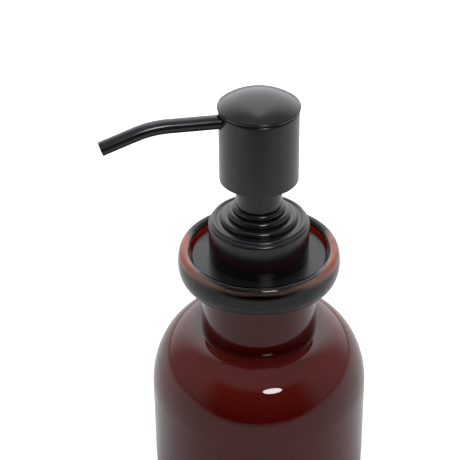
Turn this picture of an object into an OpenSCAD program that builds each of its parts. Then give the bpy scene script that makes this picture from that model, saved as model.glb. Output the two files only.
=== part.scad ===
// Soap pump dispenser: a glass bottle, a stopper plate that sits in its mouth, and a lotion pump
// that screws on to the stopper. Millimetres. The origin is the centre of the bottle's foot, +Z is
// up, and the spout points along -X.

/* [Bottle] */
// Outside diameter of the body
body_d = 76; // [70:1:92]
// Height of the glass, from the foot to the top of the lip
glass_h = 97.4; // [90:0.2:140]
// Thickness of the body's wall
glass_wall = 3; // [2.4:0.2:4]
// Thickness of the floor
floor_t = 5; // [4:0.5:8]
// Radius of the rounded edge round the foot
foot_round = 6; // [3:0.5:8]
// Height of the rounded shoulder
shoulder_h = 25.5; // [18:0.5:32]
// Length of the straight neck between the shoulder and the lip
neck_len = 20.5; // [16:0.5:26]
// Outside diameter of the neck
neck_d = 40.2; // [38.6:0.2:44]
// Bore of the neck
neck_bore_d = 33.2; // [32.6:0.2:35]
// Height of the flared lip
lip_h = 11; // [8:0.5:13]
// How far the lip bulges out beyond the recess in the mouth
lip_wall = 4.1; // [3:0.1:6]
// Depth of the recess in the mouth
recess_depth = 5.7; // [4:0.1:6.5]

/* [Stopper] */
// Diameter of the stopper plate
plate_d = 46.2; // [44:0.2:54]
// Thickness of the stopper plate
plate_t = 1.5; // [1:0.1:2.5]
// Thickness of the silicone flange under the plate
seal_flange_t = 1; // [0.8:0.1:1.6]
// How deep the plug reaches below the plate
plug_depth = 16; // [12:0.5:18]
// Thickness of the silicone sleeve round the plug
sleeve_t = 1; // [0.8:0.1:1.6]
// How far the sleeve's fins stand out
fin_h = 0.5; // [0.3:0.1:0.8]
// Number of fins on the sleeve
fin_count = 3; // [2:1:4]

/* [Screw thread] */
// Diameter over the crests of the spigot's thread
thread_d = 27.2; // [26:0.2:34]
// Depth of the thread
thread_depth = 1.05; // [0.8:0.05:1.2]
// Pitch of the thread
thread_pitch = 3.175; // [2.8:0.025:3.6]
// Turns of thread on the spigot and in the nut
thread_turns = 1.5; // [1:0.25:1.5]
// Height of the spigot above the plate
spigot_h = 9.8; // [9.2:0.1:12]
// Wall of the spigot inside the thread's root
spigot_wall = 1.55; // [1.2:0.05:2]

/* [Collar] */
// Wall of the screw nut outside its thread
nut_wall = 2.15; // [1.6:0.05:3]
// Thickness of the metal cover over the nut
cover_t = 0.8; // [0.6:0.1:1]
// Outside diameter of the collar's neck
collar_neck_d = 15.4; // [15:0.1:17]
// How far the collar's neck reaches up into the head at rest
neck_overlap = 2.8; // [2:0.1:4]
// How far the centre of each moulded ring stands out from the neck, from the lowest up
ring_reach = [3.85, 1.35, 0.05]; // [0:0.05:5]
// Height of each ring's centre above the collar's shoulder, from the lowest up
ring_rise = [0.4, 2.6, 4.9]; // [0.3:0.05:6]
// Radius of each ring's rounded edge, from the lowest up
ring_round = [1.5, 1.5, 1.2]; // [0.4:0.05:1.6]

/* [Head] */
// Outside diameter of the head's shell
head_d = 26.3; // [25.4:0.1:31]
// Height of the head's shell
head_h = 25.4; // [25:0.1:31]
// Thickness of the head's shell
shell_t = 0.8; // [0.6:0.1:1]
// How far the cap stands out beyond the shell
cap_overhang = 0.4; // [0.2:0.1:0.8]
// Height of the cap's dome above its rim
dome_h = 5; // [3:0.25:7]
// Thickness of the cap
cap_t = 1; // [0.8:0.1:1.4]

/* [Spout] */
// Outside diameter of the spout tube
spout_d = 4.8; // [4:0.1:5.2]
// Wall of the spout tube
spout_wall = 0.6; // [0.4:0.05:0.8]
// Distance from the head's axis to the middle of the bend
bend_out = 35.2; // [30:0.2:45]
// Distance from the middle of the bend to the tip, measured level
tip_out = 16.5; // [12:0.5:24]
// Radius of the bend along the tube's centre line
bend_r = 30; // [20:1:40]
// How steeply the tube rises as it leaves the head, in degrees
spout_rise = 2.5; // [0:0.5:4]
// How steeply the tip falls below level, in degrees
spout_droop = 18; // [5:1:30]

/* [Pump] */
// Travel of the head when it is pressed
stroke = 13; // [9:0.5:14]
// Bore of the pump's cylinder
cylinder_bore_d = 11.2; // [10.4:0.1:11.6]
// Wall of the pump's cylinder
cylinder_wall = 1.3; // [1:0.1:1.6]
// Outside diameter of the stem
stem_d = 7; // [6.4:0.1:7.4]
// Bore of the stem
stem_bore_d = 4; // [3.6:0.1:4.4]
// Length of the piston
piston_len = 8; // [7:0.5:9]
// Lost motion between the piston and the stem, which opens the outlet valve
valve_slip = 1; // [0.6:0.1:1.5]
// Diameter of the inlet ball
ball_d = 4.8; // [4:0.1:5]
// Travel of the inlet ball between its seat and the cage
ball_lift = 1.5; // [1:0.1:2]
// Length of the return spring at rest
spring_len = 25; // [24:0.5:32]
// Thickness of the spring's wire
wire_d = 0.7; // [0.5:0.05:0.8]
// Working coils of the spring
spring_coils = 9; // [7:1:10]
// Outside diameter of the dip tube
dip_d = 5.7; // [5:0.1:6]
// Wall of the dip tube
dip_wall = 0.8; // [0.6:0.05:1]
// Gap between the dip tube's end and the bottle's floor
dip_gap = 2; // [1:0.5:4]

/* [Clearances] */
// Radial gap between the stopper plate and the recess in the mouth
plate_gap = 0.5; // [0.3:0.1:1]
// Gap between the silicone fins and the neck's bore
fin_gap = 0.1; // [0.05:0.05:0.2]
// Radial gap between one thread's crest and the other's root
thread_gap = 0.45; // [0.35:0.05:0.6]
// Radial gap between parts that slide or turn in each other
running_gap = 0.05; // [0.03:0.01:0.1]
// Gap between loose faces
loose_gap = 0.4; // [0.3:0.05:0.6]
// Gap between faces that are clamped together
seat_gap = 0.1; // [0.05:0.05:0.2]
// Gap left above the collar when the head is fully pressed
press_gap = 1; // [0.8:0.1:2]

/* [Hidden] */

$fn = 96;
eps = 0.01;                                     // how far a cutter runs past the face it cuts
embed = 0.3;                                    // how far a ridge is rooted in its wall
arc_steps = 12;                                 // steps in a small quarter arc

glass_colour = [0.30, 0.06, 0.05];
black_metal = [0.13, 0.13, 0.14];
black_plastic = [0.07, 0.07, 0.08];
white_plastic = [0.90, 0.90, 0.88];
silicone_colour = [0.80, 0.80, 0.80];
clear_plastic = [0.85, 0.90, 0.92];
steel_colour = [0.72, 0.73, 0.75];

// Bottle
body_r = body_d / 2;
neck_r = neck_d / 2;
neck_bore_r = neck_bore_d / 2;
plate_r = plate_d / 2;
recess_r = plate_r + plate_gap;
lip_r = recess_r + lip_wall;
lip_crown = lip_wall / 2;                       // half the thickness of the lip at its crown
lip_crown_r = recess_r + lip_crown;
lip_mid_z = glass_h - lip_h / 2;
lip_z = glass_h - lip_h;
lip_cove = 3;                                   // height of the hollow curve under the lip
shoulder_top_z = lip_z - neck_len;
shoulder_z = shoulder_top_z - shoulder_h;
seat_z = glass_h - recess_depth;
seat_round = 1;                                 // rounded edge between the seat and the bore
inner_body_r = body_r - glass_wall;
inner_foot_round = foot_round - 1;
shoulder_steps = 24;

// Stopper
plate_z = seat_z + seal_flange_t;
plate_top = plate_z + plate_t;
plate_round = 0.6;
plug_r = neck_bore_r - fin_gap - fin_h - sleeve_t;
plug_bottom = plate_z - plug_depth;
plug_rim_t = 1;                                 // rim at the plug's foot that keeps the sleeve on
fin_t = 1.2;
fin_first = 2;                                  // from the sleeve's foot to the first fin
seal_flange_r = plate_r - 0.6;

// Thread
thread_r = thread_d / 2;
thread_root_r = thread_r - thread_depth;
nut_root_r = thread_r + thread_gap;
nut_crest_r = thread_root_r + thread_gap;
spigot_bore_r = thread_root_r - spigot_wall;
spigot_top = plate_top + spigot_h;
ridge_base_w = 1.6;                             // width of a ridge at its root
ridge_crest_w = 0.8;                            // width of a ridge at its crest
ridge_start = 3.4;                              // height of the spigot's first ridge above the plate
ridge_steps = 48;                               // steps in each turn
ridge_fade = 6;                                 // steps over which a ridge runs out

// Closure
gasket_t = 1;
flange_t = 1.2;
web_t = 1.2;
flange_z = spigot_top + gasket_t;
housing_top = flange_z + flange_t;
nut_z = plate_top + loose_gap;
nut_web_z = housing_top + seat_gap;
nut_top = nut_web_z + web_t;
nut_r = nut_root_r + nut_wall;
collar_r = nut_r + cover_t;
cover_z = plate_top + seat_gap;
collar_shoulder_z = nut_top + cover_t;
collar_round = 1.3;                             // rounded top edge of the collar's wall
collar_wall_top = collar_shoulder_z - 0.6;
collar_bead = 1;                                // rounded bead round the edge of the shoulder
collar_bead_in = 1.8;                           // from the collar's wall in to the bead's centre
collar_bead_rise = 0.4;                         // how far the bead stands up from the shoulder
nut_step_z = collar_wall_top - cover_t;
nut_step_r = collar_r - collar_bead_in - cover_t;
collar_neck_r = collar_neck_d / 2;
collar_bore_r = collar_neck_r - cover_t;
collar_neck_round = 0.3;
lowest_ring_top = collar_shoulder_z + ring_rise[0] + ring_round[0];

// Pump, from the closure down
cup_r = spigot_bore_r - loose_gap;
cup_wall = 1.6;
cup_bore_r = cup_r - cup_wall;
cup_depth = 8.2;
cup_floor = housing_top - cup_depth;
cup_floor_t = 1.4;
flange_r = thread_r - 0.6;
cylinder_r = cylinder_bore_d / 2;
cylinder_out_r = cylinder_r + cylinder_wall;
stem_r = stem_d / 2;
stem_bore_r = stem_bore_d / 2;
seal_t = 1.2;
guide_z = cup_floor + seal_t;
guide_neck_r = collar_bore_r - loose_gap;
guide_neck_h = 11.7;                            // height of the guide's neck above the housing
guide_top = housing_top + guide_neck_h;
guide_bearing_h = 5;                            // length of each of the guide's two bearings
piston_top = cup_floor - valve_slip - loose_gap;
piston_z = piston_top - piston_len;
piston_ledge = piston_z + 3;                    // inner shoulder that the stem pushes on
piston_lip_h = 1.6;
piston_waist = 0.6;                             // how far the piston's waist is drawn in
rod_seat_r = 2.6;                               // where the rod's cone closes the piston's bore
rod_neck_r = 1.7;
rod_cone_r = 3.2;
rod_cone_z = piston_z - (rod_cone_r - rod_seat_r);
rod_head_r = 4.3;
rod_head_t = 1;
rod_grip = 8;                                   // length of the rod held in the stem
rod_groove_w = 1.2;
rod_core_r = 1.1;
rod_pilot_h = 3;
stem_z = piston_ledge + valve_slip + running_gap;
spring_top = rod_cone_z - rod_head_t;
spring_bottom = spring_top - spring_len;
spring_r = 3.6;
spring_sides = 8;
spring_steps = 24;                              // steps in each coil
rod_pilot_r = spring_r - wire_d / 2 - 0.35;
cage_h = 3;
cage_z = spring_bottom - cage_h;
cage_hole_r = 1.8;
cage_slot_w = 1.2;
cage_slot_r = 3.4;
ball_r = ball_d / 2;
ball_gap = 0.1;
ball_z = cage_z - ball_lift - ball_gap - sqrt(pow(ball_r, 2) - pow(cage_hole_r, 2));
ball_room_r = ball_r + 0.5;
seat_drop = 0.3;                                // how far the cone runs on below the ball's seat
seat_bore_r = ball_r * sin(45) - seat_drop;
seat_base_z = ball_z - ball_r * cos(45) - seat_drop - running_gap;
socket_t = 1.5;
socket_depth = 8;
socket_wall = 1.4;
dip_r = dip_d / 2;
socket_top = seat_base_z - socket_t;
socket_z = socket_top - socket_depth;
foot_r = max(ball_room_r, dip_r) + socket_wall;
dip_z = floor_t + dip_gap;
dip_cut_angle = 30;

// Head
head_r = head_d / 2;
core_r = head_r - shell_t;
shell_z = lowest_ring_top + stroke + press_gap;
shell_top = shell_z + head_h;
shell_top_round = 0.7;
collar_top = shell_z + neck_overlap;
core_z = collar_top + stroke + 1;
core_top = shell_top - 0.5;
core_boss_r = stem_r + 1.7;
core_boss_z = guide_top + stroke + 1;
core_pocket_h = 2.4;
core_ribs = 8;
core_rib_t = 1;
stem_top = core_z + 1;
snap_h = 0.35;                                  // how far the stem's snap bead stands out
snap_t = 1;
snap_z = stem_top - 4;
cap_r = head_r + cap_overhang;
cap_edge = 0.6;                                 // rounded edge of the cap's rim
cap_gap = 0.2;                                  // dark line between the shell and the cap
cap_z = shell_top + cap_gap;
cap_edge_z = cap_z + cap_edge;
cap_edge_r = cap_r - cap_edge;
dome_r = (pow(cap_edge_r, 2) + pow(dome_h, 2) - pow(cap_edge, 2)) / (2 * (dome_h - cap_edge));
cap_top = cap_edge_z + dome_h;
dome_z = cap_top - dome_r;
dome_part = dome_r / (dome_r - cap_edge);       // where the rim's edge runs into the dome

// Spout, in the plane y = 0, measured outwards from the head's axis
spout_r = spout_d / 2;
channel_r = spout_r - spout_wall;
spout_z = shell_top - 3;                        // height of the tube's centre at the shell
spout_root = 4;                                 // where the tube starts inside the core
spout_hole_gap = 0.25;
spout_root_z = spout_z - (head_r - spout_root) * tan(spout_rise);
bend_angle = spout_rise + spout_droop;
bend_step = 0.02;                               // the straight lengths are this much thinner than the bend
bend_overlap = 0.5;                             // how far they are let into it
bend_tangent = bend_r * tan(bend_angle / 2);
straight_len = (bend_out - spout_root) / cos(spout_rise) - bend_tangent;
tip_len = tip_out / cos(spout_droop) - bend_tangent;
bend_start = [spout_root + straight_len * cos(spout_rise), spout_root_z + straight_len * sin(spout_rise)];
bend_centre = bend_start + bend_r * [sin(spout_rise), -cos(spout_rise)];
bend_end = bend_centre + bend_r * [sin(spout_droop), cos(spout_droop)];

// Points along an ellipse from one angle to another.
function arc(centre, size, from, to, steps) =
    [for (i = [0 : steps])
        let (a = from + (to - from) * i / steps)
        [centre[0] + size[0] * cos(a), centre[1] + size[1] * sin(a)]];

// A closed skin through rings of points, each ring with the same number of points.
module skin(rings) {
    last = len(rings) - 1;
    n = len(rings[0]);
    sides = [for (i = [0 : last - 1], j = [0 : n - 1])
        [i * n + j, i * n + (j + 1) % n, (i + 1) * n + (j + 1) % n, (i + 1) * n + j]];
    first_end = [for (j = [n - 1 : -1 : 0]) j];
    last_end = [for (j = [0 : n - 1]) last * n + j];
    polyhedron(points = [for (r = rings) each r], faces = concat(sides, [first_end, last_end]), convexity = 8);
}

// A thread's ridge from its root in the wall to its crest, running out at both ends.
module ridge(wall_r, crest_r, z) {
    last = round(thread_turns * ridge_steps);
    outward = crest_r > wall_r ? 1 : -1;
    root_r = wall_r - outward * embed;
    skin([for (i = [0 : last])
        let (a = 360 * i / ridge_steps,
             rise = z + thread_pitch * i / ridge_steps,
             grown = min(1, (i + 0.5) / ridge_fade, (last - i + 0.5) / ridge_fade),
             tip_r = root_r + (crest_r - root_r) * grown,
             low = [[root_r, -ridge_base_w / 2], [tip_r, -ridge_crest_w / 2]],
             high = [[tip_r, ridge_crest_w / 2], [root_r, ridge_base_w / 2]],
             section = outward > 0 ? concat(low, high) : [low[1], low[0], high[1], high[0]])
        [for (p = section) [p[0] * cos(a), p[0] * sin(a), rise + p[1]]]]);
}

// A solid cylinder from z to z + h.
module post(r, z, h) {
    translate([0, 0, z])
        cylinder(r = r, h = h);
}

// A cone from radius low_r at z to radius high_r at z + h.
module cone(low_r, high_r, z, h) {
    translate([0, 0, z])
        cylinder(r1 = low_r, r2 = high_r, h = h);
}

// A ring from the inner to the outer radius, from z to z + h.
module ring(outer_r, inner_r, z, h) {
    difference() {
        post(outer_r, z, h);
        post(inner_r, z - eps, h + 2 * eps);
    }
}

// A rectangle in the half section, from the inner to the outer radius.
module band(inner_r, outer_r, z, top) {
    translate([inner_r, z])
        square([outer_r - inner_r, top - z]);
}

// A rounded edge in the half section.
module edge(r, z, radius) {
    translate([r, z])
        circle(r = radius);
}

// The bottle's half section: foot, body, shoulder, neck and lip outside, then the recess, the
// seat, the bore and the hollow inside.
module bottle_glass() {
    inner_shoulder = [inner_body_r - neck_bore_r, shoulder_h - glass_wall];
    outline = concat(
        [[0, 0]],
        arc([body_r - foot_round, foot_round], [foot_round, foot_round], -90, 0, arc_steps),
        arc([neck_r, shoulder_z], [body_r - neck_r, shoulder_h], 0, 90, shoulder_steps),
        arc([lip_crown_r, lip_z - lip_cove], [neck_r - lip_crown_r, lip_cove], 0, 90, arc_steps),
        arc([lip_crown_r, lip_mid_z], [lip_crown, lip_h / 2], -84, 90, shoulder_steps),
        arc([lip_crown_r, glass_h - lip_crown], [lip_crown, lip_crown], 98, 180, arc_steps),
        [[recess_r, seat_z]],
        arc([neck_bore_r + seat_round, seat_z - seat_round], [seat_round, seat_round], 90, 180, arc_steps),
        arc([neck_bore_r, shoulder_z], inner_shoulder, 90, 0, shoulder_steps),
        arc([inner_body_r - inner_foot_round, floor_t + inner_foot_round],
            [inner_foot_round, inner_foot_round], 0, -90, arc_steps),
        [[0, floor_t]]);
    color(glass_colour, 0.6)
        rotate_extrude()
            polygon(outline);
}

// The disc that closes the mouth; the spigot passes up through its middle.
module stopper_plate() {
    color(black_metal)
        rotate_extrude() {
            band(thread_r + embed, plate_r - plate_round, plate_z, plate_top);
            band(plate_r - plate_round, plate_r, plate_z + plate_round, plate_top - plate_round);
            edge(plate_r - plate_round, plate_z + plate_round, plate_round);
            edge(plate_r - plate_round, plate_top - plate_round, plate_round);
        }
}

// The moulded insert: a plug in the neck, and above the plate the threaded spigot.
module plug_insert() {
    color(black_plastic) {
        difference() {
            union() {
                post(plug_r, plug_bottom, plug_depth);
                post(plug_r + sleeve_t, plug_bottom, plug_rim_t);
                post(thread_root_r, plate_z - eps, spigot_top - plate_z + eps);
            }
            post(spigot_bore_r, plug_bottom - eps, spigot_top - plug_bottom + 2 * eps);
        }
        ridge(thread_root_r, thread_r, plate_top + ridge_start);
    }
}

// The silicone sleeve: fins against the neck's bore, and a flange between the plate and the seat.
module plug_seal() {
    sleeve_z = plug_bottom + plug_rim_t;
    fin_pitch = (seat_z - sleeve_z - fin_first) / fin_count;
    sleeve_r = plug_r + sleeve_t;
    color(silicone_colour)
        difference() {
            union() {
                post(sleeve_r, sleeve_z, plate_z - sleeve_z);
                post(seal_flange_r, seat_z, seal_flange_t);
                for (i = [0 : fin_count - 1])
                    cone(sleeve_r, sleeve_r + fin_h, sleeve_z + fin_first + i * fin_pitch, fin_t);
            }
            post(plug_r, sleeve_z - eps, plate_z - sleeve_z + 2 * eps);
        }
}

// The washer between the spigot and the housing's flange.
module neck_gasket() {
    color(clear_plastic)
        ring(thread_root_r, spigot_bore_r + 0.2, spigot_top, gasket_t);
}

// The pump's housing: flange and cup at the top, cylinder, ball seat and socket for the dip tube.
module pump_housing() {
    step_z = cage_z - socket_wall;
    cone_h = ball_room_r - seat_bore_r;
    color(white_plastic)
        difference() {
            union() {
                post(flange_r, flange_z, flange_t);
                post(cup_r, cup_floor - cup_floor_t, cup_depth + cup_floor_t);
                post(cylinder_out_r, step_z, cup_floor - step_z);
                cone(foot_r, cylinder_out_r, step_z - (cylinder_out_r - foot_r), cylinder_out_r - foot_r);
                post(foot_r, socket_z, step_z - socket_z);
            }
            post(cup_bore_r, cup_floor, cup_depth + eps);
            post(cylinder_r, cage_z, cup_floor - cage_z + eps);
            post(ball_room_r, seat_base_z + cone_h, cage_z - seat_base_z - cone_h + eps);
            cone(seat_bore_r, ball_room_r, seat_base_z, cone_h);
            post(seat_bore_r, socket_top - eps, socket_t + 2 * eps);
            post(dip_r, socket_z - eps, socket_depth + eps);
        }
}

// The stem's guide, snapped into the housing's cup, with its neck inside the collar's neck.
module stem_guide() {
    bearing_r = stem_r + running_gap;
    relief_r = bearing_r + 0.8;
    color(white_plastic)
        difference() {
            union() {
                post(cup_bore_r, guide_z, housing_top - guide_z);
                post(guide_neck_r, guide_z, guide_top - guide_z);
            }
            post(bearing_r, guide_z - eps, guide_top - guide_z + 2 * eps);
            post(relief_r, guide_z + guide_bearing_h, guide_top - guide_z - 2 * guide_bearing_h);
        }
}

// The ring that wipes the stem, on the floor of the cup.
module guide_seal() {
    color(silicone_colour)
        ring(cup_bore_r, stem_r + running_gap, cup_floor, seal_t);
}

// The cage that holds the spring up and stops the ball, with slots for the liquid.
module ball_cage() {
    color(white_plastic)
        difference() {
            post(cylinder_r, cage_z, cage_h);
            post(cage_hole_r, cage_z - eps, cage_h + 2 * eps);
            for (a = [0 : 120 : 240])
                rotate([0, 0, a])
                    translate([0, -cage_slot_w / 2, cage_z - eps])
                        cube([cage_slot_r, cage_slot_w, cage_h + 2 * eps]);
        }
}

// The ball that closes the housing's foot when the head is pressed.
module inlet_ball() {
    color(steel_colour)
        translate([0, 0, ball_z])
            sphere(r = ball_r);
}

// The return spring: a closed coil at each end and open coils between.
module return_spring() {
    turns = spring_coils + 2;
    rise = spring_len - wire_d;
    open_pitch = (rise - 2 * wire_d) / spring_coils;
    function height(t) =
        t < 1 ? t * wire_d
        : t > turns - 1 ? rise - (turns - t) * wire_d
        : wire_d + (t - 1) * open_pitch;
    color(steel_colour)
        skin([for (i = [0 : turns * spring_steps])
            let (a = 360 * i / spring_steps, z = spring_bottom + wire_d / 2 + height(i / spring_steps))
            [for (j = [0 : spring_sides - 1])
                let (b = 360 * j / spring_sides, r = spring_r + wire_d / 2 * cos(b))
                [r * cos(a), r * sin(a), z + wire_d / 2 * sin(b)]]]);
}

// The dip tube, cut on the slant at its lower end so that it can't seal against the floor.
module dip_tube() {
    color(clear_plastic)
        difference() {
            ring(dip_r, dip_r - dip_wall, dip_z, socket_top - dip_z);
            translate([-dip_r - eps, 0, dip_z])
                rotate([0, dip_cut_angle, 0])
                    translate([0, -dip_r - eps, -3 * dip_r])
                        cube([4 * dip_r, 2 * dip_r + 2 * eps, 3 * dip_r]);
        }
}

// The screw nut under the collar's cover. Its web clamps the housing's flange.
module closure_nut() {
    color(black_plastic) {
        difference() {
            union() {
                post(nut_r, nut_z, nut_step_z - nut_z);
                post(nut_step_r, nut_step_z - eps, nut_top - nut_step_z + eps);
            }
            post(nut_root_r, nut_z - eps, nut_web_z - nut_z + eps);
            post(guide_neck_r + loose_gap, nut_web_z - eps, web_t + 2 * eps);
        }
        ridge(nut_root_r, nut_crest_r, plate_top + ridge_start - thread_pitch / 2);
    }
}

// The collar's metal cover: a straight wall with a rounded edge, a beaded shoulder, three
// moulded rings and the neck.
module collar_cover() {
    color(black_metal)
        rotate_extrude()
            difference() {
                union() {
                    band(0, collar_r, cover_z, collar_wall_top - collar_round);
                    band(0, collar_r - collar_round, cover_z, collar_wall_top);
                    edge(collar_r - collar_round, collar_wall_top - collar_round, collar_round);
                    band(0, collar_r - collar_bead_in, cover_z, collar_shoulder_z);
                    edge(collar_r - collar_bead_in, collar_shoulder_z + collar_bead_rise - collar_bead, collar_bead);
                    for (i = [0 : len(ring_reach) - 1]) {
                        centre_r = collar_neck_r + ring_reach[i];
                        centre_z = collar_shoulder_z + ring_rise[i];
                        band(0, centre_r, collar_shoulder_z - eps, centre_z + ring_round[i]);
                        edge(centre_r, centre_z, ring_round[i]);
                    }
                    band(0, collar_neck_r, collar_shoulder_z, collar_top - collar_neck_round);
                    band(0, collar_neck_r - collar_neck_round, collar_shoulder_z, collar_top);
                    edge(collar_neck_r - collar_neck_round, collar_top - collar_neck_round, collar_neck_round);
                }
                band(-eps, nut_r, cover_z - eps, nut_step_z);
                band(-eps, nut_step_r, cover_z - eps, nut_top);
                for (i = [0 : len(ring_reach) - 2])
                    band(-eps, collar_neck_r + ring_reach[i] - cover_t, nut_top - eps,
                         collar_shoulder_z + ring_rise[i] + ring_round[i] - cover_t);
                band(-eps, collar_bore_r, nut_top - eps, collar_top + eps);
                band(-collar_r, 0, cover_z - eps, collar_top + eps);
            }
}

// The hollow stem that carries the head and drives the piston.
module pump_stem() {
    color(white_plastic)
        difference() {
            union() {
                post(stem_r, stem_z, stem_top - stem_z);
                post(stem_r + snap_h, snap_z, snap_t);
            }
            post(stem_bore_r, stem_z - eps, stem_top - stem_z + 2 * eps);
        }
}

// The valve rod, held in the stem. Its cone closes the piston's bore at rest.
module valve_rod() {
    cone_h = rod_cone_r - rod_neck_r;
    color(white_plastic) {
        difference() {
            post(stem_bore_r, stem_z, rod_grip);
            for (a = [0 : 120 : 240])
                rotate([0, 0, a])
                    translate([rod_core_r, -rod_groove_w / 2, stem_z - eps])
                        cube([stem_bore_r, rod_groove_w, rod_grip + 2 * eps]);
        }
        post(rod_neck_r, rod_cone_z + cone_h - eps, stem_z + eps - rod_cone_z - cone_h + eps);
        cone(rod_cone_r, rod_neck_r, rod_cone_z, cone_h);
        post(rod_head_r, spring_top, rod_head_t);
        post(rod_pilot_r, spring_top - rod_pilot_h, rod_pilot_h + eps);
    }
}

// The piston: two lips against the cylinder, and a socket for the stem's lower end.
module piston() {
    lip_r = cylinder_r - running_gap;
    color(clear_plastic)
        difference() {
            union() {
                post(lip_r - piston_waist, piston_z, piston_len);
                post(lip_r, piston_z, piston_lip_h);
                post(lip_r, piston_top - piston_lip_h, piston_lip_h);
            }
            post(rod_seat_r + running_gap, piston_z - eps, piston_len + 2 * eps);
            post(stem_r + running_gap, piston_ledge, piston_top - piston_ledge + eps);
        }
}

// The spout's path as a solid: the bend, and a straight length let into each end of it. The
// lengths run on past the tube's ends by the given extra.
module spout_solid(r, extra) {
    straight_r = r - bend_step;
    translate([-spout_root + extra * cos(spout_rise), 0, spout_root_z - extra * sin(spout_rise)])
        rotate([0, spout_rise - 90, 0])
            cylinder(r = straight_r, h = straight_len + extra + bend_overlap);
    translate([-bend_centre[0], 0, bend_centre[1]])
        rotate([90, 0, 0])
            rotate([0, 0, 90 - spout_rise])
                rotate_extrude(angle = bend_angle)
                    translate([bend_r, 0])
                        circle(r = r);
    translate([-bend_end[0], 0, bend_end[1]])
        rotate([0, -90 - spout_droop, 0])
            translate([0, 0, -bend_overlap])
                cylinder(r = straight_r, h = tip_len + extra + bend_overlap);
}

// The bent tube that the soap comes out of.
module spout_tube() {
    color(black_metal)
        difference() {
            spout_solid(spout_r, 0);
            spout_solid(channel_r, eps);
        }
}

// A bore along the spout's first straight length, outwards from the given distance.
module spout_bore(r, from, length) {
    start_z = spout_z - (head_r - from) * tan(spout_rise);
    translate([-from, 0, start_z])
        rotate([0, spout_rise - 90, 0])
            cylinder(r = r, h = length);
}

// The head's core: it turns on the stem and leads the soap from the stem to the spout.
module head_core() {
    socket_r = stem_r + running_gap;
    pocket_in = core_boss_r + 1.2;
    pocket_out = core_r - 1.4;
    color(black_plastic)
        difference() {
            union() {
                post(core_r, core_z, core_top - core_z);
                post(core_boss_r, core_boss_z, core_z - core_boss_z + eps);
            }
            post(socket_r, core_boss_z - eps, stem_top + running_gap - core_boss_z + eps);
            post(socket_r + snap_h, snap_z - running_gap, snap_t + 2 * running_gap);
            post(channel_r, stem_top - eps, spout_root_z - stem_top + eps);
            translate([0, 0, spout_root_z])
                sphere(r = channel_r);
            spout_bore(channel_r, 0, spout_root + eps);
            spout_bore(spout_r, spout_root, head_r);
            for (i = [0 : core_ribs - 1])
                rotate([0, 0, (i + 0.5) * 360 / core_ribs])
                    intersection() {
                        ring(pocket_out, pocket_in, core_z - eps, core_pocket_h + eps);
                        rotate([0, 0, -45 / core_ribs * 4])
                            translate([core_rib_t, core_rib_t, core_z - eps])
                                cube([core_r, core_r, core_pocket_h + eps]);
                    }
        }
}

// The head's metal shell, open below so that it can slide down over the collar's neck.
module head_shell() {
    color(black_metal)
        difference() {
            rotate_extrude() {
                band(core_r, head_r, shell_z, shell_top - shell_top_round);
                band(core_r, head_r - shell_top_round, shell_z, shell_top);
                intersection() {
                    edge(head_r - shell_top_round, shell_top - shell_top_round, shell_top_round);
                    band(core_r, head_r, shell_z, shell_top);
                }
            }
            spout_bore(spout_r + spout_hole_gap, core_r - 1, shell_t + 2);
        }
}

// The domed cap, with a ring under it that locates it in the shell.
module head_cap() {
    edge_top = [cap_edge_r * dome_part, dome_z + (cap_edge_z - dome_z) * dome_part];
    color(black_metal)
        rotate_extrude()
            difference() {
                union() {
                    intersection() {
                        edge(0, dome_z, dome_r);
                        band(0, edge_top[0], edge_top[1], cap_top + 1);
                    }
                    polygon([[0, cap_z], [cap_edge_r, cap_z], [cap_edge_r, cap_edge_z], edge_top, [0, edge_top[1]]]);
                    edge(cap_edge_r, cap_edge_z, cap_edge);
                    band(0, core_r, core_top, cap_z + eps);
                }
                intersection() {
                    edge(0, dome_z, dome_r - cap_t);
                    band(-eps, core_r - 1, core_top - eps, cap_top);
                }
            }
}

bottle_glass();
stopper_plate();
plug_insert();
plug_seal();
neck_gasket();
pump_housing();
stem_guide();
guide_seal();
ball_cage();
return_spring();
dip_tube();
closure_nut();
collar_cover();
pump_stem();
valve_rod();
piston();
inlet_ball();
head_core();
head_shell();
head_cap();
spout_tube();
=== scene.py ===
"""The looks of a soap pump dispenser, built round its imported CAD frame.

The scene is in metres; the bottle's own sizes are in millimetres. The spout points along -X.
"""

import math

import bpy
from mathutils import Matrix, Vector


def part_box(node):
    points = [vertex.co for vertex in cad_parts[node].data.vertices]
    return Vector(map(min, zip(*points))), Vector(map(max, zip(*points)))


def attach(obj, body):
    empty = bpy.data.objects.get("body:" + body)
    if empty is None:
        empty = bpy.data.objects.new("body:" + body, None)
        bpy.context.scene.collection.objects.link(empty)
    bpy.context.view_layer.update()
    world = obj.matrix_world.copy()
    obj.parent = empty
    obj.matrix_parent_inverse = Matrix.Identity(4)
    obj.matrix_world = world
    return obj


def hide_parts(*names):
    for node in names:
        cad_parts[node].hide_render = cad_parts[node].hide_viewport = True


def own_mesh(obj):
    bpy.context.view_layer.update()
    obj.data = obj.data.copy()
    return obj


MM = 0.001
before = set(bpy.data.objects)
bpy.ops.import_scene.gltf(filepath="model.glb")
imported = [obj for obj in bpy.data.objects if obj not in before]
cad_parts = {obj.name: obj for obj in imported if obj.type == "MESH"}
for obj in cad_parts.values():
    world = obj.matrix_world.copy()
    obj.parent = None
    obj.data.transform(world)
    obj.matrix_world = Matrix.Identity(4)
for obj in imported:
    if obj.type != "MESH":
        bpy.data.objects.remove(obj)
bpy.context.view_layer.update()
scene = bpy.context.scene


# ---------------------------------------------------------------- mesh helpers
def arc(centre, size, start, end, steps):
    """Points (r, z) along an ellipse from one angle to another, in degrees."""
    points = []
    for i in range(steps + 1):
        a = math.radians(start + (end - start) * i / steps)
        points.append((centre[0] + size[0] * math.cos(a), centre[1] + size[1] * math.sin(a)))
    return points


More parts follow.
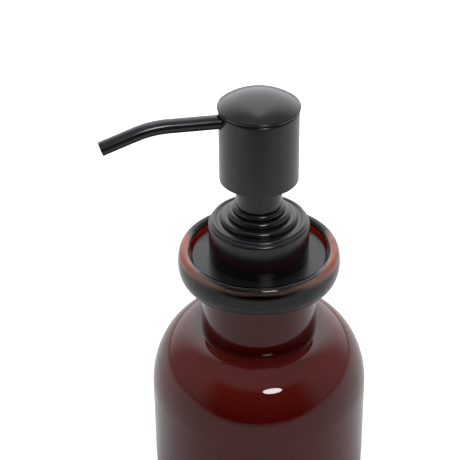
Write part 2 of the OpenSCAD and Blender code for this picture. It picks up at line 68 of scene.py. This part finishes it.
def mesh_object(name, verts, faces, sharp_deg=32.0):
    """A smooth-shaded object from vertices and faces, with edges sharper than the angle kept sharp."""
    mesh = bpy.data.meshes.new(name)
    mesh.from_pydata(verts, [], faces)
    mesh.validate()
    mesh.polygons.foreach_set("use_smooth", [True] * len(mesh.polygons))
    mesh.set_sharp_from_angle(angle=math.radians(sharp_deg))
    mesh.update()
    obj = bpy.data.objects.new(name, mesh)
    scene.collection.objects.link(obj)
    return obj


def lathe(name, profile, sides, sharp_deg):
    """A closed solid turned round the Z axis from a closed outline of (r, z) points in millimetres.

    The outline runs with the solid on its left. A point on the axis becomes one vertex.
    """
    same, on_axis = 1e-5, 1e-6
    outline = []
    for p in profile:
        if not outline or math.dist(outline[-1], p) > same:
            outline.append(p)
    if math.dist(outline[0], outline[-1]) < same:
        outline.pop()
    verts, rings = [], []
    for r, z in outline:
        if r < on_axis:
            rings.append([len(verts)])
            verts.append((0.0, 0.0, z * MM))
        else:
            rings.append(list(range(len(verts), len(verts) + sides)))
            for j in range(sides):
                a = 2 * math.pi * j / sides
                verts.append((r * MM * math.cos(a), r * MM * math.sin(a), z * MM))
    faces = []
    for i, ring in enumerate(rings):
        after = rings[(i + 1) % len(rings)]
        if len(ring) == 1 and len(after) == 1:
            continue
        for j in range(sides):
            k = (j + 1) % sides
            if len(ring) == 1:
                faces.append((ring[0], after[k], after[j]))
            elif len(after) == 1:
                faces.append((ring[j], ring[k], after[0]))
            else:
                faces.append((ring[j], ring[k], after[k], after[j]))
    return mesh_object(name, verts, faces, sharp_deg)


def flat_ring(name, inner, outer, rings, sides, z):
    """A level sheet between two circles, in rings that widen by the same ratio each time."""
    verts, faces = [], []
    for i in range(rings + 1):
        radius = inner * (outer / inner) ** (i / rings)
        for j in range(sides):
            a = 2 * math.pi * j / sides
            verts.append((radius * math.cos(a), radius * math.sin(a), z))
    for i in range(rings):
        near, far = i * sides, (i + 1) * sides
        for j in range(sides):
            k = (j + 1) % sides
            faces.append((near + j, far + j, far + k, near + k))
    return mesh_object(name, verts, faces)


# ---------------------------------------------------------------- node helpers
class Nodes:
    """A node tree being built. What is fed to a node is a plain value or another node's socket."""

    def __init__(self, tree):
        self.tree = tree

    def feed(self, value, socket):
        """Links the value to the socket, or sets it there."""
        if isinstance(value, bpy.types.NodeSocket):
            self.tree.links.new(value, socket)
        else:
            socket.default_value = value

    def node(self, kind, **inputs):
        """A new node. An underscore in an input's name stands for a space."""
        made = self.tree.nodes.new(kind)
        for key, value in inputs.items():
            self.feed(value, made.inputs[key.replace("_", " ")])
        return made

    def axes(self, vector):
        """The X, Y and Z of a vector."""
        parts = self.node("ShaderNodeSeparateXYZ", Vector=vector)
        return [parts.outputs[axis] for axis in "XYZ"]

    def math(self, operation, first, second=0.0):
        """One maths node."""
        made = self.node("ShaderNodeMath")
        made.operation = operation
        self.feed(first, made.inputs[0])
        self.feed(second, made.inputs[1])
        return made.outputs[0]

    def product(self, first, *others):
        """The values multiplied together."""
        for value in others:
            first = self.math("MULTIPLY", first, value)
        return first

    def distance(self, x, y):
        """How far the point (x, y) is from the Z axis."""
        return self.math("SQRT", self.math("ADD", self.product(x, x), self.product(y, y)))

    def along(self, x, y, heading):
        """How far the point (x, y) lies along a level heading."""
        return self.math("ADD", self.product(x, heading.x), self.product(y, heading.y))

    def span(self, value, start, end, low=0.0, high=1.0, smooth=False):
        """Low where the value is at start, high where it is at end, and held there beyond them."""
        made = self.node("ShaderNodeMapRange", Value=value,
                         From_Min=start, From_Max=end, To_Min=low, To_Max=high)
        if smooth:
            made.interpolation_type = "SMOOTHSTEP"
        return made.outputs["Result"]

    def ramp(self, factor, start, end, first, second):
        """The first colour where the factor is at start, the second where it is at end."""
        made = self.node("ShaderNodeValToRGB", Fac=factor)
        for element, place, colour in zip(made.color_ramp.elements, (start, end), (first, second)):
            element.position = place
            element.color = (*colour, 1.0)
        return made.outputs["Color"]

    def blend(self, factor, first, second):
        """The first colour where the factor is 0, the second where it is 1."""
        made = self.node("ShaderNodeMix")
        made.data_type = "RGBA"
        self.feed(factor, made.inputs[0])
        self.feed(first, made.inputs[6])
        self.feed(second, made.inputs[7])
        return made.outputs[2]


class Paint(Nodes):
    """A Principled material being built, in the coordinates of the object that wears it."""

    def __init__(self, name):
        self.material = bpy.data.materials.new(name)
        self.material.use_nodes = True
        super().__init__(self.material.node_tree)
        self.shader = next(n for n in self.tree.nodes if n.type == "BSDF_PRINCIPLED")
        self.output = next(n for n in self.tree.nodes if n.type == "OUTPUT_MATERIAL")
        self.place = self.node("ShaderNodeTexCoord").outputs["Object"]

    def noise(self, scale, detail, roughness=0.5):
        """A noise from 0 to 1, which mostly lies between 0.3 and 0.7."""
        made = self.node("ShaderNodeTexNoise", Vector=self.place,
                         Scale=scale, Detail=detail, Roughness=roughness)
        return made.outputs["Fac"]

    def mottle(self, noise, dark, light, start=0.3, end=0.7):
        """A colour that wanders between a dark and a light one."""
        return self.ramp(noise, start, end, dark, light)

    def uneven(self, noise, low, high, start=0.3, end=0.7):
        """A number that wanders between low and high."""
        return self.span(noise, start, end, low, high)

    def bump(self, noise, depth, strength, below=None):
        """A bump of that depth in metres, on top of the bump below."""
        made = self.node("ShaderNodeBump", Height=noise, Distance=depth, Strength=strength)
        if below is not None:
            self.feed(below, made.inputs["Normal"])
        return made.outputs["Normal"]

    def finished(self, **sockets):
        """The material, with these values fed to its shader. An underscore stands for a space."""
        for key, value in sockets.items():
            self.feed(value, self.shader.inputs[key.replace("_", " ")])
        return self.material


# ---------------------------------------------------------------- plain materials
def coated_metal(name, dark, light, gloss, ior):
    """Satin powder coat: faint blotches, fine orange peel and a slightly uneven gloss."""
    p = Paint(name)
    blotches = p.mottle(p.noise(scale=90.0, detail=4.0), dark, light)
    sheen = p.uneven(p.noise(scale=260.0, detail=5.0, roughness=0.6), *gloss)
    peel = p.bump(p.noise(scale=900.0, detail=2.0), depth=0.000012, strength=0.35)
    grain = p.bump(p.noise(scale=6000.0, detail=2.0), depth=0.000002, strength=0.6, below=peel)
    return p.finished(Base_Color=blotches, Roughness=sheen, Normal=grain, IOR=ior)


def moulded(name, dark, light, gloss, **sockets):
    """Moulded plastic or silicone: faint flow marks and a fine texture."""
    p = Paint(name)
    flow_marks = p.mottle(p.noise(scale=60.0, detail=3.0), dark, light)
    sheen = p.uneven(p.noise(scale=200.0, detail=4.0), *gloss)
    texture = p.bump(p.noise(scale=3000.0, detail=2.0), depth=0.00001, strength=0.5)
    return p.finished(Base_Color=flow_marks, Roughness=sheen, Normal=texture, **sockets)


def bright_steel(name):
    """Drawn stainless wire and a ground ball: small stains and a fine grain."""
    p = Paint(name)
    stains = p.mottle(p.noise(scale=400.0, detail=4.0), (0.50, 0.50, 0.52), (0.66, 0.66, 0.68))
    sheen = p.uneven(p.noise(scale=1800.0, detail=3.0), 0.16, 0.32)
    grain = p.bump(p.noise(scale=7000.0, detail=2.0), depth=0.000004, strength=0.6)
    return p.finished(Base_Color=stains, Roughness=sheen, Normal=grain, Metallic=1.0)


black_metal = coated_metal("black_powder_coat", (0.0034, 0.0033, 0.0046), (0.0052, 0.0050, 0.0070),
                           gloss=(0.18, 0.25), ior=1.62)
plate_metal = coated_metal("plate_powder_coat", (0.0030, 0.0030, 0.0035), (0.0048, 0.0048, 0.0056),
                           gloss=(0.25, 0.33), ior=1.45)
black_plastic = moulded("black_moulding", (0.010, 0.010, 0.011), (0.018, 0.018, 0.020), gloss=(0.42, 0.55))
white_plastic = moulded("white_moulding", (0.72, 0.72, 0.69), (0.82, 0.82, 0.80), gloss=(0.34, 0.46),
                        Subsurface_Weight=0.1, Subsurface_Scale=0.002)
clear_plastic = moulded("clear_moulding", (0.78, 0.82, 0.83), (0.88, 0.91, 0.92), gloss=(0.22, 0.34),
                        Transmission_Weight=0.7, IOR=1.5)
silicone = moulded("silicone", (0.55, 0.55, 0.54), (0.66, 0.66, 0.65), gloss=(0.48, 0.62),
                   Transmission_Weight=0.25)
steel = bright_steel("bright_steel")

# ---------------------------------------------------------------- sizes of the bottle, in millimetres
glass_low, glass_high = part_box("bottle_glass")
BODY_R = round(glass_high[0] / MM, 2)
GLASS_TOP = round(glass_high[2] / MM, 2)
NECK_R, BORE_R = 20.1, 16.6
WALL, FLOOR, FOOT_ROUND = 3.0, 5.0, 6.0
SHOULDER_Z, SHOULDER_H = 40.4, 25.5              # where the shoulder starts, and how high it is
LIP_H, LIP_COVE = 11.0, 3.0                      # the lip, and the hollow curve under it
RECESS_R, SEAT_Z = 23.6, 91.7                    # the recess in the lip, and the seat at its bottom
LIP_CROWN, SEAT_ROUND = 2.05, 1.0                # roundings of the lip's top and of the seat's inner edge

# ---------------------------------------------------------------- red-brown glass, in metres
SPOUT_LEAN = math.radians(15.0)                  # how far the spout turns towards the camera
FRONT = Vector((-math.sin(SPOUT_LEAN), -math.cos(SPOUT_LEAN), 0.0))
GLASS_IOR, GLASS_DENSITY = 1.52, 1700.0
GLASS_PASSES = (0.78, 0.36, 0.0, 1.0)
LACQUER_TOP, LACQUER_FADE = 0.0866, 0.0012       # the height where the lacquer ends, under the lip
LACQUER_DARK, LACQUER_LIGHT = (0.031, 0.0009, 0.0005), (0.043, 0.0014, 0.0008)
LACQUER_CLEAR = 0.12                             # how much light the lacquer still lets through
# painted light: a paler colour on the shoulder, standing in for light falling on it from above
SHOULDER_LIT_DARK, SHOULDER_LIT_LIGHT = (0.056, 0.0040, 0.0026), (0.074, 0.0056, 0.0036)
SHOULDER_UP = (0.050, 0.061)                     # the heights where the painted light on the shoulder starts and is full
SHOULDER_OUT = (0.0005, 0.003)                   # the same, counted outwards from the neck
LIP_DARK, LIP_LIGHT = (0.30, 0.22, 0.18), (0.38, 0.29, 0.25)
# painted glow: orange painted on the lip's crown where light that has passed through the lip shows
GLOW_DARK, GLOW_LIGHT = (0.17, 0.026, 0.012), (0.30, 0.060, 0.030)
GLOW_INNER = (0.0238, 0.0267)                    # radius of the glow's inner edge, at the side and in front
GLOW_OUTER = (0.0276, 0.0274)                    # the same for its outer edge
GLOW_FADE, GLOW_WOBBLE = 0.0005, 0.0010
GLOW_BEHIND = (-0.40, -0.15)                     # the frontness where the glow starts and is full
GLOW_WEAKENS = (0.35, 0.90)                      # the frontness where it starts and stops to weaken
GLOW_LEFT = 0.22                                 # what is left of it there
GLOW_UP = (0.0880, 0.0910)                       # the heights where the glow starts and is full
GLOW_CLEAR = 0.25                                # how much light still passes where it glows


def painted_lip_glow(p, radius, frontness, z):
    """Where the painted glow lies on the lip's crown, as a share from 0 to 1; it is painted light, standing
    in for light that has passed through the lip.

    It lies right across the crown at the sides, and is a thin line at the front.
    """
    wobble = p.product(p.math("SUBTRACT", p.noise(scale=55.0, detail=2.0), 0.5), GLOW_WOBBLE)
    inner = p.math("ADD", wobble, p.span(frontness, 0.0, 1.0, *GLOW_INNER))
    outer = p.math("ADD", wobble, p.span(frontness, 0.0, 1.0, *GLOW_OUTER))
    return p.product(
        p.span(p.math("SUBTRACT", outer, radius), 0.0, GLOW_FADE),
        p.span(p.math("SUBTRACT", radius, inner), 0.0, GLOW_FADE),
        p.span(frontness, *GLOW_BEHIND),
        p.span(frontness, *GLOW_WEAKENS, 1.0, GLOW_LEFT),
        p.span(z, *GLOW_UP),
    )


def lacquer_and_painted_light(p, radius, z):
    """The lacquer's colour, with painted light on the shoulder: a paler colour there, as if lit from above.
    """
    low_coat = p.mottle(p.noise(scale=30.0, detail=3.0), LACQUER_DARK, LACQUER_LIGHT)
    # painted light: the shoulder's paler colour, where it faces up towards the light
    painted_light_coat = p.mottle(p.noise(scale=42.0, detail=3.0), SHOULDER_LIT_DARK, SHOULDER_LIT_LIGHT)
    start, full = (NECK_R * MM + out for out in SHOULDER_OUT)
    painted_light_share = p.product(p.span(z, *SHOULDER_UP), p.span(radius, start, full))
    return p.blend(painted_light_share, low_coat, painted_light_coat)


def lacquered_glass(name):
    """Thick red-brown glass. Its body and neck wear a glossy lacquer of the same colour, with painted light
    on the shoulder; the lip is bare, with a painted glow on its crown.
    """
    p = Paint(name)
    x, y, z = p.axes(p.place)
    radius = p.distance(x, y)
    frontness = p.math("DIVIDE", p.along(x, y, FRONT), radius)
    bare = p.span(z, LACQUER_TOP - LACQUER_FADE, LACQUER_TOP + LACQUER_FADE)
    glow = painted_lip_glow(p, radius, frontness, z)
    lip = p.mottle(p.noise(scale=45.0, detail=2.0), LIP_DARK, LIP_LIGHT)
    # painted glow: the orange colour laid on the lip's crown in place of light shining through it
    painted_glow_colour = p.mottle(p.noise(scale=120.0, detail=3.0), GLOW_DARK, GLOW_LIGHT, start=0.25, end=0.75)
    colour = p.blend(glow, p.blend(bare, lacquer_and_painted_light(p, radius, z), lip), painted_glow_colour)
    clear = p.product(p.span(bare, 0.0, 1.0, LACQUER_CLEAR, 1.0), p.span(glow, 0.0, 1.0, 1.0, GLOW_CLEAR))
    sheen = p.uneven(p.noise(scale=120.0, detail=4.0), 0.03, 0.08, start=0.4, end=0.75)
    wave = p.bump(p.noise(scale=28.0, detail=1.0), depth=0.00025, strength=0.35)
    ripple = p.bump(p.noise(scale=140.0, detail=2.0), depth=0.00002, strength=0.3, below=wave)
    tint = p.node("ShaderNodeVolumeAbsorption", Color=GLASS_PASSES, Density=GLASS_DENSITY)
    p.feed(tint.outputs["Volume"], p.output.inputs["Volume"])
    return p.finished(Base_Color=colour, Transmission_Weight=clear, Roughness=sheen, Normal=ripple,
                      IOR=GLASS_IOR)


glass = lacquered_glass("red_brown_glass")

# ---------------------------------------------------------------- materials of the CAD nodes
NODE_MATERIALS = {
    "plug_insert": black_plastic, "plug_seal": silicone, "neck_gasket": clear_plastic,
    "pump_housing": white_plastic, "stem_guide": white_plastic, "guide_seal": silicone,
    "ball_cage": white_plastic, "return_spring": steel, "dip_tube": clear_plastic,
    "closure_nut": black_plastic, "pump_stem": white_plastic, "valve_rod": white_plastic,
    "piston": clear_plastic, "inlet_ball": steel, "head_core": black_plastic,
    "stopper_plate": plate_metal, "collar_cover": black_metal, "head_shell": black_metal,
    "head_cap": black_metal, "spout_tube": black_metal, "bottle_glass": glass,
}
for node_name, node_material in NODE_MATERIALS.items():
    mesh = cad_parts[node_name].data
    mesh.materials.clear()
    mesh.materials.append(node_material)

# ---------------------------------------------------------------- bottle
BOTTLE_SIDES, BOTTLE_SHARP = 256, 50.0
LIP_MID_R = RECESS_R + LIP_CROWN
COVE_Z = GLASS_TOP - LIP_H - LIP_COVE
INNER_R, INNER_ROUND = BODY_R - WALL, FOOT_ROUND - 1.0
bottle_outline = (
    [(0.0, 0.0)]
    # Outside, from the foot up to the top of the lip.
    + arc((BODY_R - FOOT_ROUND, FOOT_ROUND), (FOOT_ROUND, FOOT_ROUND), -90, 0, 24)
    + arc((NECK_R, SHOULDER_Z), (BODY_R - NECK_R, SHOULDER_H), 0, 90, 64)
    + arc((LIP_MID_R, COVE_Z), (NECK_R - LIP_MID_R, LIP_COVE), 0, 90, 16)
    + arc((LIP_MID_R, GLASS_TOP - LIP_H / 2), (LIP_CROWN, LIP_H / 2), -84, 90, 64)
    # Inside, from the lip's crown down to the floor.
    + arc((LIP_MID_R, GLASS_TOP - LIP_CROWN), (LIP_CROWN, LIP_CROWN), 95, 180, 24)
    + [(RECESS_R, SEAT_Z)]
    + arc((BORE_R + SEAT_ROUND, SEAT_Z - SEAT_ROUND), (SEAT_ROUND, SEAT_ROUND), 90, 180, 12)
    + arc((BORE_R, SHOULDER_Z), (INNER_R - BORE_R, SHOULDER_H - WALL), 90, 0, 48)
    + arc((INNER_R - INNER_ROUND, FLOOR + INNER_ROUND), (INNER_ROUND, INNER_ROUND), 0, -90, 20)
    + [(0.0, FLOOR)]
)
bottle = lathe("glass_bottle", bottle_outline, BOTTLE_SIDES, BOTTLE_SHARP)
bottle.data.materials.append(glass)
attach(bottle, "bottle")
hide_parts("bottle_glass")

# ---------------------------------------------------------------- return spring, as a copy of its own attached to the pump
spring = bpy.data.objects.new("closing_spring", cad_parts["return_spring"].data.copy())
scene.collection.objects.link(spring)
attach(spring, "pump")
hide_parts("return_spring")
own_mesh(spring)

# ---------------------------------------------------------------- floor
FLOOR_REACH = 3.0
CORNERS = ((-1, -1), (1, -1), (1, 1), (-1, 1))
floor = mesh_object("floor", [(x * FLOOR_REACH, y * FLOOR_REACH, 0.0) for x, y in CORNERS], [(0, 1, 2, 3)])
floor_paint = Paint("pale_floor")
floor_colour = floor_paint.mottle(floor_paint.noise(scale=6.0, detail=4.0), (0.90,) * 3, (0.93,) * 3)
floor.data.materials.append(floor_paint.finished(Base_Color=floor_colour, Roughness=0.8))

# ---------------------------------------------------------------- world
WALL_LIGHT, ROOM_LIGHT = 1.9, 0.38
STUDIO_COLOUR = (0.97, 0.98, 1.0, 1.0)
WALL_ENDS = (-1.0, -0.35)                        # the frontness over which the light falls to the room's
DARK_WIDE = (math.cos(math.radians(72)), math.cos(math.radians(40)))    # edges of the dark part, sideways
DARK_HIGH = (math.sin(math.radians(33)), math.sin(math.radians(50)))    # and upwards
DARK_SHARE = 0.97                                # how much of the light the dark part loses
LEAST_LEVEL = 1e-4                               # keeps the division safe straight above and below


def studio_world(name):
    """A studio that is bright behind the object and dimmer in front, with a dark part low down there."""
    world = bpy.data.worlds.new(name)
    world.use_nodes = True
    n = Nodes(world.node_tree)
    x, y, z = n.axes(n.node("ShaderNodeTexCoord").outputs["Generated"])
    level = n.math("MAXIMUM", n.math("SQRT", n.math("SUBTRACT", 1.0, n.product(z, z))), LEAST_LEVEL)
    frontness = n.math("DIVIDE", n.along(x, y, FRONT), level)
    light = n.span(frontness, *WALL_ENDS, WALL_LIGHT, ROOM_LIGHT, smooth=True)
    ahead = n.span(frontness, *DARK_WIDE, smooth=True)
    low_down = n.span(z, *DARK_HIGH, 1.0, 0.0, smooth=True)
    lit = n.math("SUBTRACT", 1.0, n.product(ahead, low_down, DARK_SHARE))
    backdrop = n.tree.nodes["Background"]
    n.feed(n.product(light, lit), backdrop.inputs["Strength"])
    n.feed(STUDIO_COLOUR, backdrop.inputs["Color"])
    return world


scene.world = studio_world("studio")

# ---------------------------------------------------------------- the floor as reflections see it, with painted light and shade
SWEEP_START, SWEEP_END, SWEEP_LIFT = 0.040, 14.0, 0.0006
SWEEP_RINGS, SWEEP_SIDES = 30, 96
SWEEP_FRONT, SWEEP_BACK, SWEEP_PAINTED_SHADE = 0.26, 0.42, 0.0045       # its greys: painted light, lighter behind the object than in front, and painted shade where the lit part ends
SWEEP_TURNS = (-0.5, 0.6)                        # the frontness over which the back grey turns to the front's
LIT_END = (0.20, 0.36)                           # how far in front of the object its lit part fades and ends


def sweep_material(name):
    """Matt grey with painted light, lighter behind than in front, and painted shade where the lit part of the
    studio ends in front.
    """
    p = Paint(name)
    x, y, _ = p.axes(p.place)
    ahead = p.along(x, y, FRONT)
    frontness = p.math("DIVIDE", ahead, p.distance(x, y))
    # painted shade: the sheet goes dark where the lit part of the floor ends in front
    unlit = p.product(p.span(ahead, *LIT_END), p.span(frontness, *DARK_WIDE))
    grey = p.ramp(p.span(frontness, *SWEEP_TURNS), 0.0, 1.0, (SWEEP_BACK,) * 3, (SWEEP_FRONT,) * 3)
    colour = p.blend(unlit, grey, (SWEEP_PAINTED_SHADE, SWEEP_PAINTED_SHADE, SWEEP_PAINTED_SHADE, 1.0))
    return p.finished(Base_Color=colour, Roughness=0.9, Specular_IOR_Level=0.0)


sweep = flat_ring("grey_sweep", SWEEP_START, SWEEP_END, SWEEP_RINGS, SWEEP_SIDES, SWEEP_LIFT)
sweep.data.materials.append(sweep_material("grey_sweep"))
sweep.visible_camera = sweep.visible_diffuse = sweep.visible_transmission = sweep.visible_shadow = False

# ---------------------------------------------------------------- lights
OVERHEAD_PLACE, OVERHEAD_AIM = Vector((0.0, 0.1, 1.3)), Vector((0.0, 0.0, 0.05))
OVERHEAD_SIZE, OVERHEAD_WATTS = (1.4, 1.2), 30.0
KEY_TURN, KEY_RISE = math.radians(16.5), math.radians(40.0)    # to the camera's right, and up
KEY_DISTANCE, KEY_AIM = 1.0, Vector((0.0, 0.0, 0.06))
KEY_SIZE, KEY_WATTS = (0.32, 0.15), 2.0


def raised(heading, rise):
    """A direction that rises from a level heading by an angle."""
    return heading * math.cos(rise) + Vector((0.0, 0.0, math.sin(rise)))


def look_at(obj, place, aim):
    """Puts a light or the camera in its place and turns it to its aim."""
    obj.location = place
    obj.rotation_euler = (aim - place).to_track_quat("-Z", "Y").to_euler()


def softbox(name, shape, place, aim, size, watts):
    """A soft area light."""
    data = bpy.data.lights.new(name, "AREA")
    data.shape = shape
    data.size, data.size_y = size
    data.energy = watts
    obj = bpy.data.objects.new(name, data)
    scene.collection.objects.link(obj)
    look_at(obj, place, aim)
    return obj


overhead = softbox("overhead_softbox", "RECTANGLE", OVERHEAD_PLACE, OVERHEAD_AIM,
                   OVERHEAD_SIZE, OVERHEAD_WATTS)
overhead.visible_glossy = False
across = Vector((-FRONT.y, FRONT.x, 0.0))
key_heading = FRONT * math.cos(KEY_TURN) + across * math.sin(KEY_TURN)
softbox("key_softbox", "ELLIPSE", raised(key_heading, KEY_RISE) * KEY_DISTANCE, KEY_AIM, KEY_SIZE, KEY_WATTS)

# ---------------------------------------------------------------- camera
CAMERA_RISE, CAMERA_DISTANCE = math.radians(32.65), 0.490
CAMERA_AIM = Vector((0.0, 0.0, 0.1035))
SENSOR_WIDTH, LENS = 36.0, 113.9                 # millimetres
SHIFT = -0.063                                   # a share of the picture's width
camera_data = bpy.data.cameras.new("camera")
camera_data.sensor_width = SENSOR_WIDTH
camera_data.lens = LENS
camera_data.shift_x = SHIFT
camera_data.clip_start = 0.01
camera = bpy.data.objects.new("camera", camera_data)
scene.collection.objects.link(camera)
look_at(camera, CAMERA_AIM + raised(FRONT, CAMERA_RISE) * CAMERA_DISTANCE, CAMERA_AIM)
scene.camera = camera
scene.view_settings.view_transform = "Standard"
